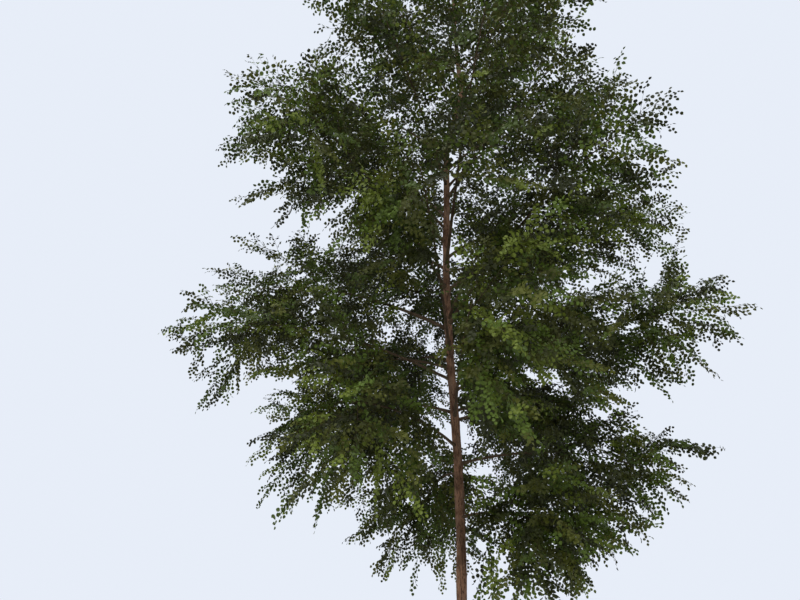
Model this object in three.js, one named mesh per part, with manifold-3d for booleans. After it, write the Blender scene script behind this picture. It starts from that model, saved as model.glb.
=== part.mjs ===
// A slim Indian rosewood tree some fourteen metres tall. A slender trunk stands on a small root flare
// and sways a little, and its leader steps aside near the top. Long arching boughs carry loose masses
// of leafy twigs, which hang low on one side.
// Lengths are in millimetres. +Z is up, z = 0 is the ground at the trunk's flat foot, +X is the side
// where the masses hang low, and -Y is the side from which the trunk shows.

import * as THREE from "three";
import { mergeVertices } from "three/addons/utils/BufferGeometryUtils.js";
import Module from "manifold-3d";

const wasm = await Module();
wasm.setup();

const DEGREE = Math.PI / 180;
const GOLDEN_ANGLE = Math.PI * (3 - Math.sqrt(5));
const UP = new THREE.Vector3(0, 0, 1);
const RIGHT = new THREE.Vector3(1, 0, 0);
const NEARLY_UPRIGHT = 0.95;

// Seeds: a mass's own run of numbers for its twigs starts at SEED * TWIG_SEEDS + number * MASS_SEEDS.
const SEED = 2658;
const TWIG_SEEDS = 7;
const SPRAY_SEEDS = 11;
const MASS_SEEDS = 131;

// Trunk
const TREE_HEIGHT = 14200;
const TRUNK_HEIGHT = 12000;
const TRUNK_RADIUS = 65;
const TRUNK_TAPER = 0.5;
const TRUNK_TAPER_ENDS_AT = 14600;
const ROOT_FLARE = 46;
const ROOT_FLARE_HEIGHT = 190;
const ROOT_LOBES = 5;
const ROOT_LOBE_DEPTH = 0.16;
const TRUNK_SWAY = 35;
const TRUNK_SWAY_LENGTH = 5500;
const TRUNK_SWAY_Y_PACE = 0.6;
const LEADER_SHIFT = 330;
const LEADER_SHIFT_FROM = 8100;
const LEADER_SHIFT_RUN = 1400;

// Crown outline: its radius round the trunk at each height
const CROWN_FOOT = 1300;
const CROWN_WIDEST_AT = 5600;
const CROWN_RADIUS = 3800;
const CROWN_ROUNDNESS_ABOVE = 1.62;
const CROWN_ROUNDNESS_BELOW = 1.7;
const CROWN_FOOT_LIFT = 900;
const CROWN_SLACK = 250;

// A shallow hollow in the crown's side, high up between the +X and the -Y side
const HOLLOW_DEPTH = 0.26;
const HOLLOW_AZIMUTH = -38 * DEGREE;
const HOLLOW_HALF_TURN = 45 * DEGREE;
const HOLLOW_HEIGHT = 9300;
const HOLLOW_HALF_HEIGHT = 1700;

// Limbs: one for each mass, dealt over the crown by the golden angle
const SHELL_MASSES = 34;
const INNER_MASSES = 9;
const INNER_LOW = 3900;
const INNER_HIGH = 11300;
const INNER_REACH = 0.48;
const INNER_TURN = 0.42;
const FIRST_AZIMUTH = 315 * DEGREE;
const AZIMUTH_JITTER = 14 * DEGREE;
const REACH_JITTER = 0.08;
const TIP_INSET = 620;
const LOWEST_LIMB = 2550;
const HIGHEST_LIMB = 11500;
const LOWEST_TIP = 2000;
const LIMB_RISE_LOW = -12 * DEGREE;
const LIMB_RISE_HIGH = 64 * DEGREE;
const LIMB_RISE_POWER = 0.8;
const LIMB_ARCH = 0.07;
const LIMB_ROOT_SHARE = 0.5;
const BOUGH_FROM_LENGTH = 3200;
const LEAFY_LENGTH = 2500;
const LEAFY_FROM_LEAST = 0.3;
const TOP_LEAFY_FROM = 0.1;
const STEM_RADIUS = 20;
const STEM_TIP_RADIUS = 12;

// Twigs and leaves of a mass. Each leaf stands for a spray of leaflets.
const TWIGS = 5;
const FIRST_TWIG_AT = 0.3;
const LAST_TWIG_AT = 0.97;
const TWIG_LENGTH = 900;
const TWIG_SHORTENING = 0.35;
const TWIG_ANGLE = 56 * DEGREE;
const TWIG_ANGLE_JITTER = 0.15;
const TWIG_TURN_JITTER = 0.3;
const TWIG_FLATNESS = 0.8;
const TWIG_DROOP = 0.12;
const TWIG_RADIUS = 6;
const TWIG_TIP_RADIUS = 5;
const TWIG_TURNS = [0, 50 * DEGREE, -50 * DEGREE, 180 * DEGREE];
const TWIG_CUTS = [1, 0.7, 0.45];
const TWIG_FREE_FROM = 0.15;
const SPRAYS_ON_TWIG = [0.5, 0.98];
const SPRAYS_ON_STEM = [0.06, 0.3, 0.52, 0.74, 0.9, 1];
const SPRAY_ANGLE = 48 * DEGREE;
const SPRAY_ANGLE_JITTER = 0.25;
const SPRAY_SIDE_JITTER = 0.5;
const TIP_SPRAY_FROM = 0.95;
const TIP_SPRAY_ANGLE = 15 * DEGREE;
const SPRAY_TILT_UP = 0.8;
const SPRAY_TURNS = [0, 70 * DEGREE, -70 * DEGREE];
const SPRAY_LENGTH = 1060;
const SPRAY_WIDTH = 780;
const SPRAY_THICKNESS = 30;
const SPRAY_WIDEST = 0.46;
const SPRAY_SINK = 2;
const SPRAY_CUTS = [1, 0.8, 0.6];
const SPRAY_MARGIN = 0.06;
const SMALLEST = 0.85;
const LARGEST = 1.1;

// Clearances
const JOINT_GAP = 0.3;
const LIMB_CLEARANCE = 14;
const SPACE_CLEARANCE = 16;

// The trunk shows from a viewer's place on the -Y side, through a slim gap in the near leaves.
const VIEWER = new THREE.Vector3(-670, -8000, 1600);
const GAP_HALF_WIDTH = 130;
const GAP_TOP = 7600;

// Facets
const TRUNK_SIDES = 12;
const TRUNK_RINGS = 15;
const TRUNK_RING_CROWDING = 1.3;
const BOUGH_SIDES = 5;
const BOUGH_RINGS = 3;
const STEM_SIDES = 3;
const STEM_RINGS = 3;
const FLATNESS = 0.02;

const bark = new THREE.MeshStandardMaterial({ color: 0x8a6a4c, roughness: 0.9, metalness: 0 });
const boughBark = new THREE.MeshStandardMaterial({ color: 0x6f5a45, roughness: 0.9, metalness: 0 });
const leaf = new THREE.MeshStandardMaterial({ color: 0x3d5420, roughness: 0.6, metalness: 0 });

// A generator of numbers from 0 to 1 that gives the same run for the same seed
function seeded(seed) {
  let state = seed >>> 0;
  return () => {
    state = (state + 0x6d2b79f5) >>> 0;
    let t = state;
    t = Math.imul(t ^ (t >>> 15), t | 1);
    t ^= t + Math.imul(t ^ (t >>> 7), t | 61);
    return ((t ^ (t >>> 14)) >>> 0) / 4294967296;
  };
}

const mix = (a, b, share) => a + (b - a) * share;
const around = (draw) => 2 * draw() - 1;

// The trunk's centre line and radius at a height
function trunkAxis(z) {
  const turn = (2 * Math.PI * z) / TRUNK_SWAY_LENGTH;
  const step = THREE.MathUtils.smoothstep(z, LEADER_SHIFT_FROM, LEADER_SHIFT_FROM + LEADER_SHIFT_RUN);
  const x = TRUNK_SWAY * (1 - Math.cos(turn)) + LEADER_SHIFT * step;
  return new THREE.Vector3(x, TRUNK_SWAY * Math.sin(TRUNK_SWAY_Y_PACE * turn), z);
}

function trunkRadius(z) {
  const taper = TRUNK_RADIUS * Math.pow(1 - z / TRUNK_TAPER_ENDS_AT, TRUNK_TAPER);
  return taper + ROOT_FLARE * Math.exp(-z / ROOT_FLARE_HEIGHT);
}

function crownRadius(z) {
  const above = z > CROWN_WIDEST_AT;
  const span = above ? TREE_HEIGHT - CROWN_WIDEST_AT : CROWN_WIDEST_AT - CROWN_FOOT;
  const share = Math.min(1, Math.abs(z - CROWN_WIDEST_AT) / span);
  const power = above ? CROWN_ROUNDNESS_ABOVE : CROWN_ROUNDNESS_BELOW;
  return CROWN_RADIUS * Math.pow(1 - Math.pow(share, power), 1 / power);
}

// The crown's radius on one side, with the hollow taken off
function crownReach(azimuth, z) {
  const aside = Math.acos(Math.cos(azimuth - HOLLOW_AZIMUTH)) / HOLLOW_HALF_TURN;
  const above = (z - HOLLOW_HEIGHT) / HOLLOW_HALF_HEIGHT;
  return crownRadius(z) * (1 - HOLLOW_DEPTH * Math.exp(-aside * aside - above * above));
}

// Heights that share the crown's surface evenly among count masses, lowest first
function spreadHeights(count) {
  const steps = 400;
  const stepHeight = (TREE_HEIGHT - LOWEST_TIP) / steps;
  const sums = [0];
  for (let i = 0; i < steps; i++) {
    const low = LOWEST_TIP + i * stepHeight;
    const slant = Math.hypot(stepHeight, crownRadius(low + stepHeight) - crownRadius(low));
    sums.push(sums[i] + crownRadius(low + stepHeight / 2) * slant);
  }
  return Array.from({ length: count }, (_, k) => {
    const wanted = ((k + 0.5) / count) * sums[steps];
    const i = sums.findIndex((sum) => sum >= wanted);
    const within = (wanted - sums[i - 1]) / (sums[i] - sums[i - 1]);
    return LOWEST_TIP + (i - 1 + within) * stepHeight;
  });
}

// The centre line of a limb, from the trunk's centre to the end of its mass's stem
function limbTo(tipHeight, azimuth, reach) {
  const crownShare = (tipHeight - LOWEST_TIP) / (TREE_HEIGHT - LOWEST_TIP);
  const rise = mix(LIMB_RISE_LOW, LIMB_RISE_HIGH, Math.pow(crownShare, LIMB_RISE_POWER));
  const rootHeight = tipHeight - reach * Math.tan(rise);
  const root = trunkAxis(THREE.MathUtils.clamp(rootHeight, LOWEST_LIMB, HIGHEST_LIMB));
  const tip = trunkAxis(tipHeight);
  tip.x += reach * Math.cos(azimuth);
  tip.y += reach * Math.sin(azimuth);
  const knee = root.clone().lerp(tip, 0.5);
  knee.z += 2 * LIMB_ARCH * root.distanceTo(tip);
  return new THREE.QuadraticBezierCurve3(root, knee, tip);
}

function limbCurves() {
  const curves = spreadHeights(SHELL_MASSES).map((height, k) => {
    const draw = seeded(SEED + k);
    const azimuth = FIRST_AZIMUTH + k * GOLDEN_ANGLE + AZIMUTH_JITTER * around(draw);
    const lowness = 1 - (height - LOWEST_TIP) / (TREE_HEIGHT - LOWEST_TIP);
    const lift = CROWN_FOOT_LIFT * lowness * lowness * 0.5 * (1 - Math.cos(azimuth));
    const reach = crownReach(azimuth, height) * (1 + REACH_JITTER * around(draw)) - TIP_INSET;
    return limbTo(height + lift, azimuth, Math.max(0.5 * TIP_INSET, reach));
  });
  for (let k = 0; k < INNER_MASSES; k++) {
    const height = mix(INNER_LOW, INNER_HIGH, k / (INNER_MASSES - 1));
    const azimuth = FIRST_AZIMUTH + (k + INNER_TURN) * GOLDEN_ANGLE;
    curves.push(limbTo(height, azimuth, INNER_REACH * crownRadius(height)));
  }
  const top = trunkAxis(TRUNK_HEIGHT);
  const peak = top.clone().setZ(TREE_HEIGHT - TIP_INSET);
  curves.push(new THREE.QuadraticBezierCurve3(top, top.clone().lerp(peak, 0.5), peak));
  return curves;
}

// Places evenly spaced along a curve with the direction there
function stations(curve, from, to, rings) {
  return Array.from({ length: rings + 1 }, (_, i) => {
    const share = mix(from, to, i / rings);
    return { place: curve.getPoint(share), along: curve.getTangent(share) };
  });
}

const placesAlong = (curve, from, to, rings) => stations(curve, from, to, rings).map((s) => s.place);

// A limb: a cylinder bent through its stations, with a radius that depends on ring and angle
function bentCylinder(places, sides, radiusAt) {
  const rings = places.length - 1;
  const geometry = new THREE.CylinderGeometry(1, 1, 1, sides, rings);
  const position = geometry.attributes.position;
  for (let i = 0; i < position.count; i++) {
    const ring = Math.round((position.getY(i) + 0.5) * rings);
    const { place, along } = places[ring];
    const level = Math.abs(along.z) > NEARLY_UPRIGHT ? RIGHT : UP;
    const upward = level.clone().addScaledVector(along, -level.dot(along)).normalize();
    const sideways = along.clone().cross(upward);
    const radius = radiusAt(ring, Math.atan2(position.getX(i), position.getZ(i)));
    const moved = place.clone().addScaledVector(sideways, radius * position.getX(i));
    moved.addScaledVector(upward, radius * position.getZ(i));
    position.setXYZ(i, moved.x, moved.y, moved.z);
  }
  return geometry;
}

function taperedLimb(curve, from, to, rings, sides, rootRadius, tipRadius) {
  const places = stations(curve, from, to, rings);
  return solidFrom(bentCylinder(places, sides, (ring) => mix(rootRadius, tipRadius, ring / rings)));
}

// A leaf blade that stands for a spray: pointed at root and tip, flat above and keeled below.
// A three-sided lathe of radius 1 measures the root of 3 across and 1.5 through.
const BLADE_PROFILE = [new THREE.Vector2(0, 0), new THREE.Vector2(1, SPRAY_WIDEST), new THREE.Vector2(0, 1)];

function spraySolid({ root, along, normal, size }) {
  const geometry = new THREE.LatheGeometry(BLADE_PROFILE, 3);
  const position = geometry.attributes.position;
  const sideways = along.clone().cross(normal);
  for (let i = 0; i < position.count; i++) {
    const place = root.clone().addScaledVector(along, position.getY(i) * size * SPRAY_LENGTH - SPRAY_SINK);
    place.addScaledVector(sideways, (-position.getX(i) / Math.sqrt(3)) * size * SPRAY_WIDTH);
    place.addScaledVector(normal, (-position.getZ(i) / 1.5) * size * SPRAY_THICKNESS);
    position.setXYZ(i, place.x, place.y, place.z);
  }
  return solidFrom(geometry);
}

// A point of a spray, from its share of the length and its share of the half width
function sprayPoint({ root, along, normal, size }, far, wide) {
  const sideways = along.clone().cross(normal);
  const point = root.clone().addScaledVector(along, far * size * SPRAY_LENGTH);
  return point.addScaledVector(sideways, 0.5 * wide * size * SPRAY_WIDTH);
}

const SPRAY_CORNERS = [[0, 0], [SPRAY_WIDEST, 1], [1, 0], [SPRAY_WIDEST, -1]];
const SPRAY_SAMPLES = [[0.1, 0], [0.5 * SPRAY_WIDEST, -0.5], [0.5 * SPRAY_WIDEST, 0.5], [SPRAY_WIDEST, -1],
  [SPRAY_WIDEST, 0], [SPRAY_WIDEST, 1], [0.73, -0.5], [0.73, 0.5], [0.73, 0], [1, 0]];

const pointsOf = (spray, shares) => shares.map(([far, wide]) => sprayPoint(spray, far, wide));

// Whether a straight piece from start to end passes through a spray's blade
function piercesSpray(start, end, spray) {
  const from = spray.normal.dot(start.clone().sub(spray.root));
  const to = spray.normal.dot(end.clone().sub(spray.root));
  if (from * to > 0 || from === to) return false;
  const crossing = start.clone().lerp(end, from / (from - to)).sub(spray.root);
  const far = crossing.dot(spray.along) / (spray.size * SPRAY_LENGTH);
  const wide = crossing.dot(spray.along.clone().cross(spray.normal)) / (0.5 * spray.size * SPRAY_WIDTH);
  const edge = far < SPRAY_WIDEST ? far / SPRAY_WIDEST : (1 - far) / (1 - SPRAY_WIDEST);
  return far > SPRAY_MARGIN && Math.abs(wide) < edge + SPRAY_MARGIN;
}

const pathPierces = (path, spray) => path.some((p, i) => i > 0 && piercesSpray(path[i - 1], p, spray));

function spraysCross(one, other) {
  const edgeOf = (spray) => {
    const corners = pointsOf(spray, SPRAY_CORNERS);
    return [...corners, corners[0]];
  };
  return pathPierces(edgeOf(one), other) || pathPierces(edgeOf(other), one);
}

// A solid from a closed geometry, and a geometry from a solid
function solidFrom(geometry) {
  const places = new THREE.BufferGeometry();
  places.setAttribute("position", geometry.getAttribute("position"));
  places.setIndex(geometry.getIndex());
  const merged = mergeVertices(places, 1e-3);
  const mesh = new wasm.Mesh({
    numProp: 3,
    vertProperties: merged.attributes.position.array,
    triVerts: new Uint32Array(merged.index.array),
  });
  return new wasm.Manifold(mesh).setTolerance(FLATNESS).asOriginal();
}

function geometryFrom(solid) {
  const mesh = solid.getMesh();
  return new THREE.BufferGeometry()
    .setAttribute("position", new THREE.BufferAttribute(new Float32Array(mesh.vertProperties), 3))
    .setIndex(new THREE.BufferAttribute(new Uint32Array(mesh.triVerts), 1));
}

// The largest body of a solid, with sealed hollows filled and loose scraps dropped
function wholeOf(solid) {
  return solid.decompose().reduce((best, body) => (body.volume() > best.volume() ? body : best));
}

function distanceToPath(point, path) {
  const nearest = new THREE.Vector3();
  let best = Infinity;
  for (let i = 0; i + 1 < path.length; i++) {
    new THREE.Line3(path[i], path[i + 1]).closestPointToPoint(point, true, nearest);
    best = Math.min(best, nearest.distanceTo(point));
  }
  return best;
}

// Whether what lies between some points would stand between the viewer and the trunk
function hideTrunk(points) {
  const offsets = points
    .filter((point) => point.y < -trunkRadius(0))
    .map((point) => VIEWER.clone().lerp(point, VIEWER.y / (VIEWER.y - point.y)))
    .filter((seen) => seen.z < GAP_TOP)
    .map((seen) => seen.x - trunkAxis(seen.z).x);
  return Math.min(...offsets) < GAP_HALF_WIDTH && Math.max(...offsets) > -GAP_HALF_WIDTH;
}

// Whether a point is off the trunk and within the crown
function isInCrown(point) {
  const out = point.clone().sub(trunkAxis(point.z));
  const reach = Math.hypot(out.x, out.y);
  const offTrunk = point.z > TRUNK_HEIGHT || reach > trunkRadius(point.z) + LIMB_CLEARANCE;
  const crownEdge = crownReach(Math.atan2(out.y, out.x), point.z) + CROWN_SLACK;
  return offTrunk && point.z < TREE_HEIGHT && reach < crownEdge;
}

// The limbs. The bare stretch of each is a bough, or part of the stem where there is no bough.
const limbs = limbCurves().map((curve, k) => {
  const length = curve.getLength();
  const onTrunkTip = k === SHELL_MASSES + INNER_MASSES;
  const leafyFrom = onTrunkTip ? TOP_LEAFY_FROM : Math.max(LEAFY_FROM_LEAST, 1 - LEAFY_LENGTH / length);
  const hasBough = length > BOUGH_FROM_LENGTH;
  return {
    curve,
    length,
    onTrunkTip,
    hasBough,
    leafyFrom,
    stemFrom: hasBough ? leafyFrom : 0,
    bare: placesAlong(curve, 0, leafyFrom, 5),
    leafy: placesAlong(curve, leafyFrom, 1, 4),
  };
});

// Whether points keep to a mass's own space, off the limbs and out of the gap before the trunk
function areClear(points, own) {
  const keepsToOwn = (point) => {
    const ownDistance = distanceToPath(point, limbs[own].leafy) + SPACE_CLEARANCE;
    return limbs.every((limb, k) => {
      const offLimb = distanceToPath(point, limb.bare) > 1.5 * STEM_RADIUS + LIMB_CLEARANCE;
      return k === own ? offLimb : offLimb && distanceToPath(point, limb.leafy) > ownDistance;
    });
  };
  return points.every(isInCrown) && !hideTrunk(points) && points.every(keepsToOwn);
}

// A shoot's direction: turned from its parent's by an angle, towards a side turned round the parent
function shootDirection(parent, angle, turn, flatness) {
  const level = Math.abs(parent.z) > NEARLY_UPRIGHT ? RIGHT : UP;
  const upward = level.clone().addScaledVector(parent, -level.dot(parent)).normalize();
  const sideways = parent.clone().cross(upward);
  const away = sideways.multiplyScalar(Math.cos(turn)).addScaledVector(upward, flatness * Math.sin(turn));
  return parent.clone().multiplyScalar(Math.cos(angle)).addScaledVector(away.normalize(), Math.sin(angle));
}

function twigLine(root, direction, length) {
  const tip = root.clone().addScaledVector(direction, length);
  tip.z -= TWIG_DROOP * length;
  return new THREE.LineCurve3(root, tip);
}

// Every pairing of the members of two lists, the first list's first member first
const pairs = (firsts, seconds) => firsts.flatMap((first) => seconds.map((second) => [first, second]));

// The twigs of a mass that fit its space
function twigsOf(own) {
  const limb = limbs[own];
  const draw = seeded(SEED * TWIG_SEEDS + own * MASS_SEEDS);
  const firstTurn = 2 * Math.PI * draw();
  return Array.from({ length: TWIGS }, (_, j) => {
    const along = (j + FIRST_TWIG_AT) / TWIGS;
    const share = mix(limb.leafyFrom, LAST_TWIG_AT, along);
    const turn = firstTurn + j * GOLDEN_ANGLE + TWIG_TURN_JITTER * around(draw);
    const angle = TWIG_ANGLE * (1 + TWIG_ANGLE_JITTER * around(draw));
    const length = TWIG_LENGTH * (1 - TWIG_SHORTENING * along) * mix(SMALLEST, LARGEST, draw());
    const root = limb.curve.getPoint(share);
    const tangent = limb.curve.getTangent(share);
    const tries = pairs(TWIG_CUTS, TWIG_TURNS).map(([cut, aside]) => {
      const direction = shootDirection(tangent, angle, turn + aside, TWIG_FLATNESS);
      return twigLine(root, direction, cut * length);
    });
    return tries.find((curve) => areClear(placesAlong(curve, TWIG_FREE_FROM, 1, 4), own));
  }).filter((curve) => curve);
}

// The places a spray may take at a share of a shoot, the wanted place first
function sprayTries(curve, share, side, draw) {
  const root = curve.getPoint(share);
  const tangent = curve.getTangent(share);
  const isAtTip = share >= TIP_SPRAY_FROM;
  const angle = isAtTip ? TIP_SPRAY_ANGLE * draw() : SPRAY_ANGLE * (1 + SPRAY_ANGLE_JITTER * around(draw));
  const size = mix(SMALLEST, LARGEST, draw());
  const tilt = new THREE.Vector3(around(draw), around(draw), SPRAY_TILT_UP);
  return pairs(SPRAY_CUTS, SPRAY_TURNS).map(([cut, turn]) => {
    const along = shootDirection(tangent, angle, side + turn, 1);
    const normal = tilt.clone().addScaledVector(along, -tilt.dot(along)).normalize();
    return { root, along, normal, size: cut * size };
  });
}

// The twigs of a mass and the sprays that fit on them and on its stem, on two sides in turn
function growMass(own) {
  const limb = limbs[own];
  const draw = seeded(SEED * SPRAY_SEEDS + own * MASS_SEEDS);
  const twigs = twigsOf(own);
  const wood = [limb.leafy, ...twigs.map((curve) => placesAlong(curve, 0, 1, 2))];
  const onStem = SPRAYS_ON_STEM.map((share) => ({ curve: limb.curve, share: mix(limb.leafyFrom, 1, share) }));
  const onTwigs = twigs.flatMap((curve) => SPRAYS_ON_TWIG.map((share) => ({ curve, share })));
  const sprays = [];
  [...onTwigs, ...onStem].forEach(({ curve, share }, i) => {
    const side = (i % 2 ? 0 : Math.PI) + SPRAY_SIDE_JITTER * around(draw);
    const fitting = sprayTries(curve, share, side, draw).find(
      (spray) =>
        !wood.some((path) => pathPierces(path, spray)) &&
        !sprays.some((other) => spraysCross(spray, other)) &&
        areClear(pointsOf(spray, SPRAY_SAMPLES), own),
    );
    if (fitting) sprays.push(fitting);
  });
  return { twigs, sprays };
}

function trunkSolid(extra) {
  const places = Array.from({ length: TRUNK_RINGS + 1 }, (_, i) => {
    const share = Math.pow(i / TRUNK_RINGS, TRUNK_RING_CROWDING);
    return { place: trunkAxis(TRUNK_HEIGHT * share), along: UP };
  });
  const radiusAt = (ring, angle) => {
    const z = places[ring].place.z;
    const lobe = 1 + ROOT_LOBE_DEPTH * Math.exp(-z / ROOT_FLARE_HEIGHT) * Math.cos(ROOT_LOBES * angle);
    return trunkRadius(z) * lobe + extra;
  };
  return solidFrom(bentCylinder(places, TRUNK_SIDES, radiusAt));
}

const trunk = trunkSolid(0);
const trunkWithGap = trunkSolid(JOINT_GAP);

function boughSolid(limb) {
  const rootRadius = LIMB_ROOT_SHARE * trunkRadius(limb.curve.v0.z);
  const { curve, stemFrom } = limb;
  const whole = taperedLimb(curve, 0, stemFrom, BOUGH_RINGS, BOUGH_SIDES, rootRadius, STEM_RADIUS);
  return wholeOf(whole.subtract(trunkWithGap));
}

function massSolid(own) {
  const { curve, length, stemFrom, onTrunkTip, hasBough } = limbs[own];
  const isCutClear = hasBough || onTrunkTip;
  const from = isCutClear ? stemFrom + JOINT_GAP / length : 0;
  const rootRadius = onTrunkTip ? trunkRadius(TRUNK_HEIGHT) : STEM_RADIUS;
  const pieces = [taperedLimb(curve, from, 1, STEM_RINGS, STEM_SIDES, rootRadius, STEM_TIP_RADIUS)];
  const { twigs, sprays } = growMass(own);
  pieces.push(...twigs.map((twig) => taperedLimb(twig, 0, 1, 1, 3, TWIG_RADIUS, TWIG_TIP_RADIUS)));
  pieces.push(...sprays.map(spraySolid));
  const fused = wasm.Manifold.union(pieces);
  return wholeOf(isCutClear ? fused : fused.subtract(trunkWithGap));
}

// A mesh whose geometry is measured from its own place
function placedMesh(name, solid, place, material) {
  const geometry = geometryFrom(solid.translate([-place.x, -place.y, -place.z]));
  const mesh = new THREE.Mesh(geometry, material);
  mesh.name = name;
  mesh.position.copy(place);
  return mesh;
}

const tree = new THREE.Group();
tree.name = "indian_rosewood_tree";
tree.add(placedMesh("trunk", trunk, new THREE.Vector3(), bark));

const twoDigits = (number) => String(number).padStart(2, "0");
limbs.filter((limb) => limb.hasBough).forEach((limb, k) => {
  tree.add(placedMesh(`bough_${twoDigits(k + 1)}`, boughSolid(limb), limb.curve.v0, boughBark));
});
limbs.forEach((limb, k) => {
  const place = limb.curve.getPoint(limb.stemFrom);
  tree.add(placedMesh(`foliage_${twoDigits(k + 1)}`, massSolid(k), place, leaf));
});

export default tree;
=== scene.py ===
"""An Indian rosewood tree: bark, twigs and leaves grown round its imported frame.

The limbs grow by the frame's own seeded rule, written again here in metres. The rule is then carried on to
finer shoots with compound leaves, which keep to the space of their mass. +Z is up, z = 0 is the ground, and
the camera looks along +Y.
"""

import math

import bpy
import numpy as np
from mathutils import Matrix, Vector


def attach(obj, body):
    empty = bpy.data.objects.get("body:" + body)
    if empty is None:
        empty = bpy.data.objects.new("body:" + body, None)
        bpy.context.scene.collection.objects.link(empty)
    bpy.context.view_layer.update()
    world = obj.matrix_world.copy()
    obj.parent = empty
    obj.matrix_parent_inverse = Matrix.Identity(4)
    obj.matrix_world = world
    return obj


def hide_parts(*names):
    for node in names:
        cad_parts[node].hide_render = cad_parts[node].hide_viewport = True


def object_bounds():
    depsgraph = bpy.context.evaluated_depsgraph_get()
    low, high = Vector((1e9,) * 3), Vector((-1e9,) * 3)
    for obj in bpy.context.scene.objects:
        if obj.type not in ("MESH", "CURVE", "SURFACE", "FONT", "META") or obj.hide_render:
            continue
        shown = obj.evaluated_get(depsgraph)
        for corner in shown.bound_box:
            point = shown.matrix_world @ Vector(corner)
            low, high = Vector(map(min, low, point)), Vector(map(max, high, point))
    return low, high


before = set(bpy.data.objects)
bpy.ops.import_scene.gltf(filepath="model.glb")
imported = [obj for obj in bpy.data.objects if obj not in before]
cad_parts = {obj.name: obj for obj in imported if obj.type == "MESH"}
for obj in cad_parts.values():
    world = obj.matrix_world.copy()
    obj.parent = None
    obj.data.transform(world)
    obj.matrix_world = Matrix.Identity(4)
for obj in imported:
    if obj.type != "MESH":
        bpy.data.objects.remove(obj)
cad_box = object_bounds()

GOLDEN_ANGLE = math.pi * (3 - math.sqrt(5))
UP = np.array([0.0, 0.0, 1.0])
RIGHT = np.array([1.0, 0.0, 0.0])
NEARLY_UPRIGHT = 0.95

# Seeds: a mass's own run of numbers starts at SEED * kind + its number * MASS_SEEDS.
SEED = 2658
TWIG_SEEDS = 7
SPRAY_SEEDS = 11
FILLER_SEEDS = 13
FINE_SEEDS = 17
MASS_SEEDS = 131

# Trunk
TREE_HEIGHT = 14.2
TRUNK_HEIGHT = 12.0
TRUNK_RADIUS = 0.065
TRUNK_TAPER = 0.5
TRUNK_TAPER_ENDS_AT = 14.6
ROOT_FLARE = 0.046
ROOT_FLARE_HEIGHT = 0.19
ROOT_LOBES = 5
ROOT_LOBE_DEPTH = 0.16
TRUNK_SWAY = 0.035
TRUNK_SWAY_LENGTH = 5.5
TRUNK_SWAY_Y_PACE = 0.6
LEADER_SHIFT = 0.33
LEADER_SHIFT_FROM = 8.1
LEADER_SHIFT_RUN = 1.4

# Crown outline: its radius round the trunk at each height
CROWN_FOOT = 1.3
CROWN_WIDEST_AT = 5.6
CROWN_RADIUS = 3.8
CROWN_ROUNDNESS_ABOVE = 1.62
CROWN_ROUNDNESS_BELOW = 1.7
CROWN_FOOT_LIFT = 0.9
CROWN_SLACK = 0.25

# A shallow hollow in the crown's side, high up between the +X and the -Y side
HOLLOW_DEPTH = 0.26
HOLLOW_AZIMUTH = math.radians(-38)
HOLLOW_HALF_TURN = math.radians(45)
HOLLOW_HEIGHT = 9.3
HOLLOW_HALF_HEIGHT = 1.7

# Limbs: one for each mass, dealt over the crown by the golden angle
SHELL_MASSES = 34
INNER_MASSES = 9
INNER_LOW = 3.9
INNER_HIGH = 11.3
INNER_REACH = 0.48
INNER_TURN = 0.42
FIRST_AZIMUTH = math.radians(315)
AZIMUTH_JITTER = math.radians(14)
REACH_JITTER = 0.08
TIP_INSET = 0.62
SHORTEST_REACH = 0.5 * TIP_INSET
LOWEST_LIMB = 2.55
HIGHEST_LIMB = 11.5
LOWEST_TIP = 2.0
LIMB_RISE_LOW = math.radians(-12)
LIMB_RISE_HIGH = math.radians(64)
LIMB_RISE_POWER = 0.8
LIMB_ARCH = 0.07
LIMB_ROOT_SHARE = 0.5
BOUGH_FROM_LENGTH = 3.2
LEAFY_LENGTH = 2.5
LEAFY_FROM_LEAST = 0.3
TOP_LEAFY_FROM = 0.1
STEM_RADIUS = 0.02
LENGTH_STEPS = 200
BARE_STEPS = 5
LEAFY_STEPS = 4

# Twigs and sprays of a mass
TWIGS = 5
FIRST_TWIG_AT = 0.3
LAST_TWIG_AT = 0.97
TWIG_LENGTH = 0.9
TWIG_SHORTENING = 0.35
TWIG_ANGLE = math.radians(56)
TWIG_ANGLE_JITTER = 0.15
TWIG_TURN_JITTER = 0.3
TWIG_FLATNESS = 0.8
TWIG_DROOP = 0.12
TWIG_TURNS = [math.radians(turn) for turn in (0, 50, -50, 180)]
TWIG_CUTS = [1, 0.7, 0.45]
TWIG_FREE_FROM = 0.15
SPRAYS_ON_TWIG = [0.5, 0.98]
SPRAYS_ON_STEM = [0.06, 0.3, 0.52, 0.74, 0.9, 1]
SPRAY_ANGLE = math.radians(48)
SPRAY_ANGLE_JITTER = 0.25
SPRAY_SIDE_JITTER = 0.5
TIP_SPRAY_FROM = 0.95
TIP_SPRAY_ANGLE = math.radians(15)
SPRAY_TILT_UP = 0.8
SPRAY_TURNS = [math.radians(turn) for turn in (0, 70, -70)]
SPRAY_LENGTH = 1.06
SPRAY_WIDTH = 0.78
SPRAY_WIDEST = 0.46
SPRAY_MIDDLE = 0.55
SPRAY_CUTS = [1, 0.8, 0.6]
SPRAY_MARGIN = 0.06
SMALLEST = 0.85
LARGEST = 1.1

# Clearances, and the slim gap in the near leaves through which a viewer sees the trunk
LIMB_CLEARANCE = 0.014
LIMB_SPACE = 1.5 * STEM_RADIUS + LIMB_CLEARANCE
SPACE_CLEARANCE = 0.016
VIEWER = np.array([-0.67, -8.0, 1.6])
GAP_HALF_WIDTH = 0.13
GAP_TOP = 7.6

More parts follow.
